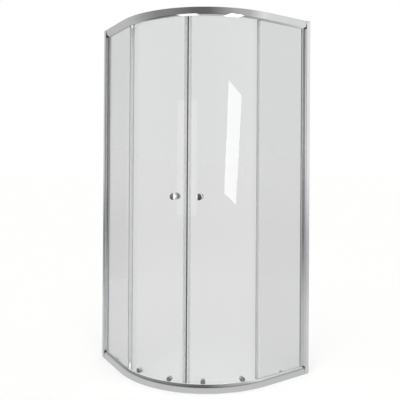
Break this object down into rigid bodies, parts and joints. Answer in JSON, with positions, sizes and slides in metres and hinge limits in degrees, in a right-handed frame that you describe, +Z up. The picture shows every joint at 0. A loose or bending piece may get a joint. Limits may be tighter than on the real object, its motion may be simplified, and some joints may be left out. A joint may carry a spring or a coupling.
{
  "type": "quadrant shower enclosure",
  "caption": "Curved corner shower enclosure: clear fixed glass panels, curved sliding glass doors on wheels with round knobs, bright aluminium rails and wall profiles.",
  "frame": {"origin": "on the floor, under the middle of the square that the enclosure fills", "axes": "+Z up; the two walls of the room's corner lie at +X and +Y; the doors meet on the diagonal towards -X -Y"},
  "size_m": [0.82, 0.82, 1.85],
  "materials": {
    "polished_aluminium": "bright polished, anodised",
    "clear_glass": "clear toughened, polished edges",
    "clear_pvc": "translucent extruded",
    "magnet_rubber": "dark flexible magnet",
    "grey_gasket": "soft grey extrusion",
    "chromed_metal": "mirror chrome",
    "stainless_steel": "plain stainless",
    "white_nylon": "moulded nylon",
    "grey_nylon": "moulded acetal",
    "black_rubber": "moulded"
  },
  "bodies": {
    "root": {"adjusting_screws": "stainless_steel", "bottom_channel_cover": "white_nylon", "bottom_rail": "polished_aluminium", "corner_blocks": "grey_nylon", "door_stops": "black_rubber", "fixed_glass_left": "clear_glass", "fixed_glass_right": "clear_glass", "jamb_gasket_left": "grey_gasket", "jamb_gasket_right": "grey_gasket", "jamb_left": "polished_aluminium", "jamb_right": "polished_aluminium", "panel_edge_seal_left": "clear_pvc", "panel_edge_seal_right": "clear_pvc", "profile_end_caps": "grey_nylon", "rail_gaskets_left": "grey_gasket", "rail_gaskets_right": "grey_gasket", "rail_screws": "stainless_steel", "screw_caps": "white_nylon", "top_channel_cover": "white_nylon", "top_rail": "polished_aluminium", "wall_profile_left": "polished_aluminium", "wall_profile_right": "polished_aluminium"},
    "door_left": {"bottom_roller_bolts_left": "stainless_steel", "bottom_roller_bushes_left": "grey_nylon", "bottom_roller_caps_left": "chromed_metal", "door_edge_seal_left": "clear_pvc", "door_glass_left": "clear_glass", "inner_knob_left": "chromed_metal", "knob_stud_left": "stainless_steel", "knob_washers_left": "white_nylon", "magnet_seal_left": "clear_pvc", "magnet_strip_left": "magnet_rubber", "outer_knob_left": "chromed_metal", "roller_washers_left": "white_nylon", "top_roller_bolts_left": "stainless_steel", "top_roller_bushes_left": "grey_nylon", "top_roller_caps_left": "chromed_metal"},
    "door_right": {"bottom_roller_bolts_right": "stainless_steel", "bottom_roller_bushes_right": "grey_nylon", "bottom_roller_caps_right": "chromed_metal", "door_edge_seal_right": "clear_pvc", "door_glass_right": "clear_glass", "inner_knob_right": "chromed_metal", "knob_stud_right": "stainless_steel", "knob_washers_right": "white_nylon", "magnet_seal_right": "clear_pvc", "magnet_strip_right": "magnet_rubber", "outer_knob_right": "chromed_metal", "roller_washers_right": "white_nylon", "top_roller_bolts_right": "stainless_steel", "top_roller_bushes_right": "grey_nylon", "top_roller_caps_right": "chromed_metal"},
    "bottom_wheel_left_inner": {"bottom_wheel_left_inner": "grey_nylon"},
    "bottom_wheel_left_outer": {"bottom_wheel_left_outer": "grey_nylon"},
    "bottom_wheel_right_inner": {"bottom_wheel_right_inner": "grey_nylon"},
    "bottom_wheel_right_outer": {"bottom_wheel_right_outer": "grey_nylon"},
    "top_wheel_left_inner": {"top_wheel_left_inner": "grey_nylon"},
    "top_wheel_left_outer": {"top_wheel_left_outer": "grey_nylon"},
    "top_wheel_right_inner": {"top_wheel_right_inner": "grey_nylon"},
    "top_wheel_right_outer": {"top_wheel_right_outer": "grey_nylon"}
  },
  "joints": [
    {"name": "door_left_slide", "type": "hinge", "parent": "root", "child": "door_left", "pos_m": [0.18613, 0.16044, 0], "axis": [0, 0, -1], "range_deg": [0, 21.1]},
    {"name": "door_right_slide", "type": "hinge", "parent": "root", "child": "door_right", "pos_m": [0.16044, 0.18613, 0], "axis": [0, 0, 1], "range_deg": [0, 21.1]},
    {"name": "bottom_wheel_left_inner_spin", "type": "hinge", "parent": "door_left", "child": "bottom_wheel_left_inner", "pos_m": [-0.28216, -0.16112, 0.0428], "axis": [-0.8141, -0.5807, 0], "continuous": true},
    {"name": "bottom_wheel_left_outer_spin", "type": "hinge", "parent": "door_left", "child": "bottom_wheel_left_outer", "pos_m": [-0.36358, 0.01631, 0.0428], "axis": [-0.9711, -0.2385, 0], "continuous": true},
    {"name": "top_wheel_left_inner_spin", "type": "hinge", "parent": "door_left", "child": "top_wheel_left_inner", "pos_m": [-0.28216, -0.16112, 1.8303], "axis": [-0.8141, -0.5807, 0], "continuous": true},
    {"name": "top_wheel_left_outer_spin", "type": "hinge", "parent": "door_left", "child": "top_wheel_left_outer", "pos_m": [-0.36358, 0.01631, 1.8303], "axis": [-0.9711, -0.2385, 0], "continuous": true},
    {"name": "bottom_wheel_right_inner_spin", "type": "hinge", "parent": "door_right", "child": "bottom_wheel_right_inner", "pos_m": [-0.16112, -0.28216, 0.0428], "axis": [-0.5807, -0.8141, 0], "continuous": true},
    {"name": "bottom_wheel_right_outer_spin", "type": "hinge", "parent": "door_right", "child": "bottom_wheel_right_outer", "pos_m": [0.01631, -0.36358, 0.0428], "axis": [-0.2385, -0.9711, 0], "continuous": true},
    {"name": "top_wheel_right_inner_spin", "type": "hinge", "parent": "door_right", "child": "top_wheel_right_inner", "pos_m": [-0.16112, -0.28216, 1.8303], "axis": [-0.5807, -0.8141, 0], "continuous": true},
    {"name": "top_wheel_right_outer_spin", "type": "hinge", "parent": "door_right", "child": "top_wheel_right_outer", "pos_m": [0.01631, -0.36358, 1.8303], "axis": [-0.2385, -0.9711, 0], "continuous": true}
  ],
  "couplings": [
    {"joint": "bottom_wheel_left_inner_spin", "follows": "door_left_slide", "ratio": 45.445},
    {"joint": "bottom_wheel_left_outer_spin", "follows": "door_left_slide", "ratio": 45.464},
    {"joint": "top_wheel_left_inner_spin", "follows": "door_left_slide", "ratio": 45.445},
    {"joint": "top_wheel_left_outer_spin", "follows": "door_left_slide", "ratio": 45.464},
    {"joint": "bottom_wheel_right_inner_spin", "follows": "door_right_slide", "ratio": -45.445},
    {"joint": "bottom_wheel_right_outer_spin", "follows": "door_right_slide", "ratio": -45.464},
    {"joint": "top_wheel_right_inner_spin", "follows": "door_right_slide", "ratio": -45.445},
    {"joint": "top_wheel_right_outer_spin", "follows": "door_right_slide", "ratio": -45.464}
  ]
}
